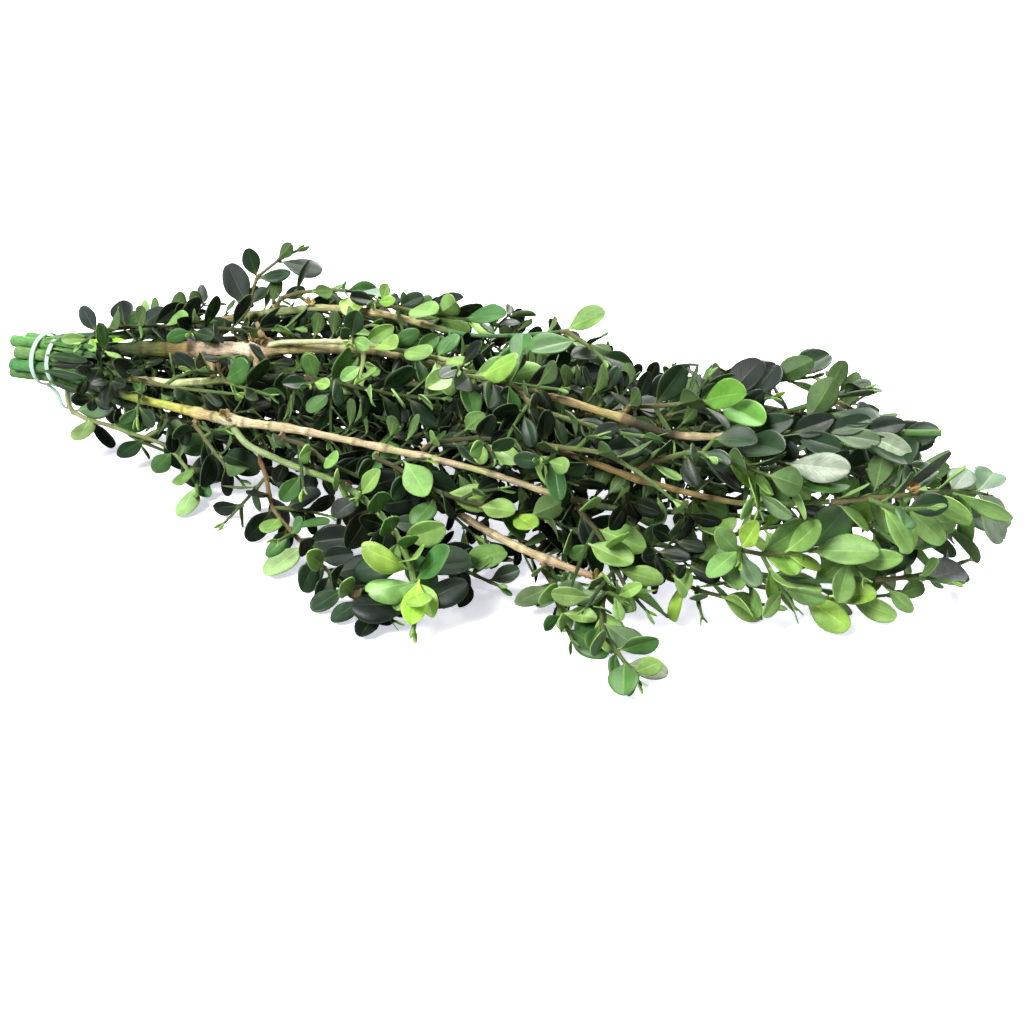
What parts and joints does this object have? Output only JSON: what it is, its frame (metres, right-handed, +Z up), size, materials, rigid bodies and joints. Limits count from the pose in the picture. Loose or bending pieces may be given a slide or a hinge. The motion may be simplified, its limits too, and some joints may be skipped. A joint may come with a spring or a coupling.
{
  "type": "boxwood bunch",
  "caption": "Bunch of cut evergreen boxwood lying on a table: woody stems held by a doubled rubber band at the cut ends and fanned out into sprays of small paired oval leaves.",
  "frame": {"origin": "middle of the bounding box, on the table under the bunch", "axes": "+X from the tied cut ends to the leaf tips, +Y from the side facing the viewer to the back, +Z up from the table"},
  "size_m": [0.4798, 0.2402, 0.0986],
  "materials": {
    "bark": "dull tan to brown bark with lighter patches, knobbly nodes and green young wood near the tie and on the twigs",
    "leaf": "leathery leaves, glossy dark green above, paler and duller yellow green below and on young shoots",
    "band": "soft pale mint rubber, slightly translucent look"
  },
  "bodies": {
    "root": {"rubber_band": "band", "stem_01": "bark", "stem_01_spray_1": "leaf", "stem_01_spray_2": "leaf", "stem_01_spray_3": "leaf", "stem_01_spray_4": "leaf", "stem_01_spray_5": "leaf", "stem_01_spray_6": "leaf", "stem_01_spray_7": "leaf", "stem_02": "bark", "stem_02_spray_1": "leaf", "stem_02_spray_2": "leaf", "stem_02_spray_3": "leaf", "stem_02_spray_4": "leaf", "stem_02_spray_5": "leaf", "stem_02_tip": "leaf", "stem_03": "bark", "stem_03_spray_1": "leaf", "stem_03_spray_2": "leaf", "stem_03_spray_3": "leaf", "stem_03_spray_4": "leaf", "stem_03_spray_5": "leaf", "stem_03_spray_6": "leaf", "stem_03_spray_7": "leaf", "stem_03_tip": "leaf", "stem_04": "bark", "stem_04_spray_1": "leaf", "stem_04_spray_2": "leaf", "stem_04_spray_3": "leaf", "stem_04_tip": "leaf", "stem_05": "bark", "stem_05_spray_1": "leaf", "stem_05_spray_2": "leaf", "stem_05_spray_3": "leaf", "stem_05_tip": "leaf", "stem_06": "bark", "stem_06_spray_1": "leaf", "stem_06_spray_2": "leaf", "stem_06_tip": "leaf", "stem_07": "bark", "stem_07_tip": "leaf", "stem_08": "bark", "stem_08_spray_1": "leaf", "stem_08_spray_2": "leaf", "stem_08_spray_3": "leaf", "stem_08_spray_4": "leaf", "stem_08_spray_5": "leaf", "stem_08_tip": "leaf", "stem_09": "bark", "stem_09_spray_1": "leaf", "stem_09_spray_2": "leaf", "stem_09_tip": "leaf", "stem_10": "bark", "stem_10_spray_1": "leaf", "stem_10_spray_2": "leaf", "stem_10_tip": "leaf", "stem_11": "bark", "stem_11_tip": "leaf", "stem_12": "bark", "stem_12_tip": "leaf"}
  },
  "joints": []
}
